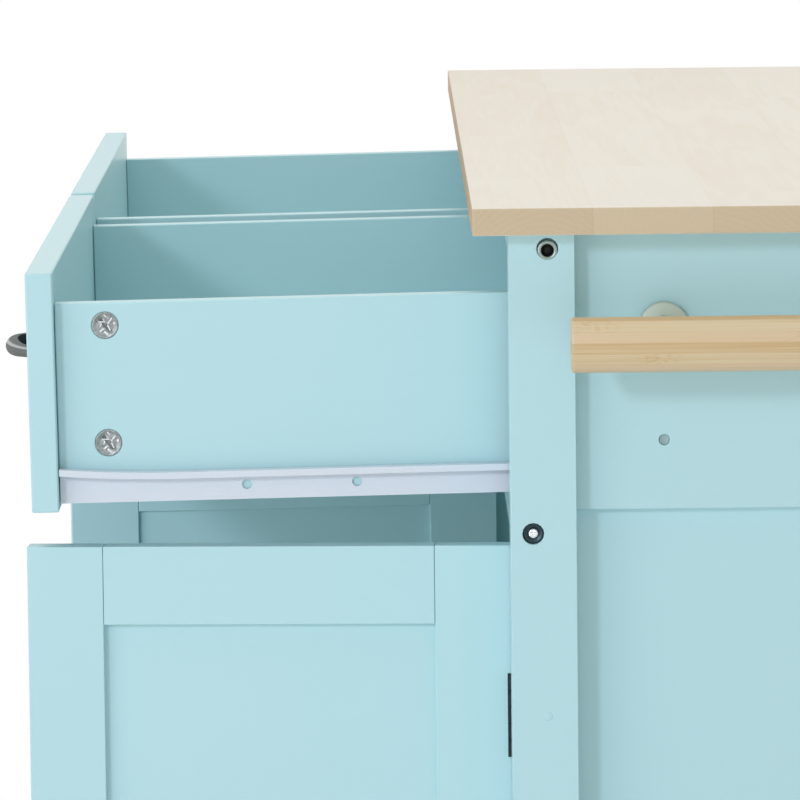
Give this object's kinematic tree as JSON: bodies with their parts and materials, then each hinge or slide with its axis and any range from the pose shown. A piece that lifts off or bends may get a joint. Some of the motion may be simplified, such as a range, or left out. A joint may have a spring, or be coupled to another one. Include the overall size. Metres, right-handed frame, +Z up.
{
  "type": "kitchen island unit",
  "caption": "Painted kitchen island with an overhanging wood worktop, pull-out drawers on roller runners, framed hinged doors and a towel bar on one end.",
  "frame": {"origin": "middle of the footprint of everything, drawers and open doors included, on the floor", "axes": "+X along the worktop towards the towel bar, -Y towards the doors and drawers, +Z up"},
  "size_m": [1.267, 0.7421, 0.9],
  "materials": {
    "mint_paint": "satin mint paint on board",
    "mint_lining": "matt mint lining",
    "worktop_wood": "pale clear-coated solid wood",
    "bar_wood": "clear-coated striped wood",
    "bracket_metal": "grey cast metal",
    "handle_metal": "dark brushed nickel",
    "hinge_metal": "black",
    "runner_metal": "white powder coat",
    "roller_plastic": "white nylon"
  },
  "bodies": {
    "cabinet": {"top_rail": "mint_paint", "middle_rail": "mint_paint", "bottom_rail": "mint_paint", "back_panel": "mint_paint", "post_front_right": "mint_paint", "post_back_right": "mint_paint", "end_rail_right": "mint_paint", "end_panel_right": "mint_paint", "post_front_left": "mint_paint", "post_back_left": "mint_paint", "end_rail_left": "mint_paint", "end_panel_left": "mint_paint", "shelf_right": "mint_lining", "shelf_left": "mint_lining", "bottom_panel": "mint_lining", "centre_partition": "mint_lining", "worktop": "worktop_wood", "towel_bar": "bar_wood", "bar_bracket_front": "bracket_metal", "bar_bracket_back": "bracket_metal", "channel_right_r": "runner_metal", "channel_right_l": "runner_metal", "channel_left_r": "runner_metal", "channel_left_l": "runner_metal", "door_right_outer_hinge_bottom": "hinge_metal", "door_right_outer_hinge_top": "hinge_metal", "door_right_inner_hinge_bottom": "hinge_metal", "door_right_inner_hinge_top": "hinge_metal", "door_left_inner_hinge_bottom": "hinge_metal", "door_left_inner_hinge_top": "hinge_metal", "door_left_outer_hinge_bottom": "hinge_metal", "door_left_outer_hinge_top": "hinge_metal"},
    "drawer_right": {"drawer_right_front": "mint_paint", "drawer_right_back": "mint_paint", "drawer_right_bottom": "mint_lining", "drawer_right_handle": "handle_metal", "drawer_right_side_r": "mint_paint", "drawer_right_side_l": "mint_paint", "drawer_right_profile_r": "runner_metal", "drawer_right_profile_l": "runner_metal"},
    "drawer_left": {"drawer_left_front": "mint_paint", "drawer_left_back": "mint_paint", "drawer_left_bottom": "mint_lining", "drawer_left_handle": "handle_metal", "drawer_left_side_r": "mint_paint", "drawer_left_side_l": "mint_paint", "drawer_left_profile_r": "runner_metal", "drawer_left_profile_l": "runner_metal"},
    "door_right_outer": {"door_right_outer_leaf": "mint_paint", "door_right_outer_handle": "handle_metal"},
    "door_right_inner": {"door_right_inner_leaf": "mint_paint", "door_right_inner_handle": "handle_metal"},
    "door_left_inner": {"door_left_inner_leaf": "mint_paint", "door_left_inner_handle": "handle_metal"},
    "door_left_outer": {"door_left_outer_leaf": "mint_paint", "door_left_outer_handle": "handle_metal"},
    "roller_right_r": {"roller_right_r": "roller_plastic"},
    "roller_right_l": {"roller_right_l": "roller_plastic"},
    "roller_left_r": {"roller_left_r": "roller_plastic"},
    "roller_left_l": {"roller_left_l": "roller_plastic"}
  },
  "joints": [
    {"name": "drawer_right_slide", "type": "slide", "parent": "cabinet", "child": "drawer_right", "axis": [0, -0.9999, -0.0154], "range_m": [-0.2654, 0]},
    {"name": "drawer_left_slide", "type": "slide", "parent": "cabinet", "child": "drawer_left", "axis": [0, -0.9999, -0.0154], "range_m": [-0.2654, 0]},
    {"name": "roller_right_r_spin", "type": "hinge", "parent": "cabinet", "child": "roller_right_r", "pos_m": [0.5304, -0.04992, 0.7438], "axis": [1, 0, 0], "range_deg": [-1800, 0]},
    {"name": "roller_right_l_spin", "type": "hinge", "parent": "cabinet", "child": "roller_right_l", "pos_m": [-0.0044, -0.04992, 0.7438], "axis": [1, 0, 0], "range_deg": [-1800, 0]},
    {"name": "roller_left_r_spin", "type": "hinge", "parent": "cabinet", "child": "roller_left_r", "pos_m": [-0.0326, -0.04992, 0.7438], "axis": [1, 0, 0], "range_deg": [-1800, 0]},
    {"name": "roller_left_l_spin", "type": "hinge", "parent": "cabinet", "child": "roller_left_l", "pos_m": [-0.5674, -0.04992, 0.7438], "axis": [1, 0, 0], "range_deg": [-1800, 0]},
    {"name": "door_right_outer_hinge", "type": "hinge", "parent": "cabinet", "child": "door_right_outer", "pos_m": [0.5355, -0.07742, 0.405], "axis": [0, 0, 1], "range_deg": [-86.7, 18.3]},
    {"name": "door_right_inner_hinge", "type": "hinge", "parent": "cabinet", "child": "door_right_inner", "pos_m": [-0.0095, -0.07742, 0.405], "axis": [0, 0, -1], "range_deg": [-85, 0]},
    {"name": "door_left_inner_hinge", "type": "hinge", "parent": "cabinet", "child": "door_left_inner", "pos_m": [-0.0275, -0.07742, 0.405], "axis": [0, 0, 1], "range_deg": [0, 85]},
    {"name": "door_left_outer_hinge", "type": "hinge", "parent": "cabinet", "child": "door_left_outer", "pos_m": [-0.5725, -0.07742, 0.405], "axis": [0, 0, -1], "range_deg": [0, 105]}
  ],
  "couplings": [
    {"joint": "roller_right_r_spin", "follows": "drawer_right_slide", "rad_per_m": 117.65},
    {"joint": "roller_right_l_spin", "follows": "drawer_right_slide", "rad_per_m": 117.65},
    {"joint": "roller_left_r_spin", "follows": "drawer_left_slide", "rad_per_m": 117.65},
    {"joint": "roller_left_l_spin", "follows": "drawer_left_slide", "rad_per_m": 117.65}
  ]
}
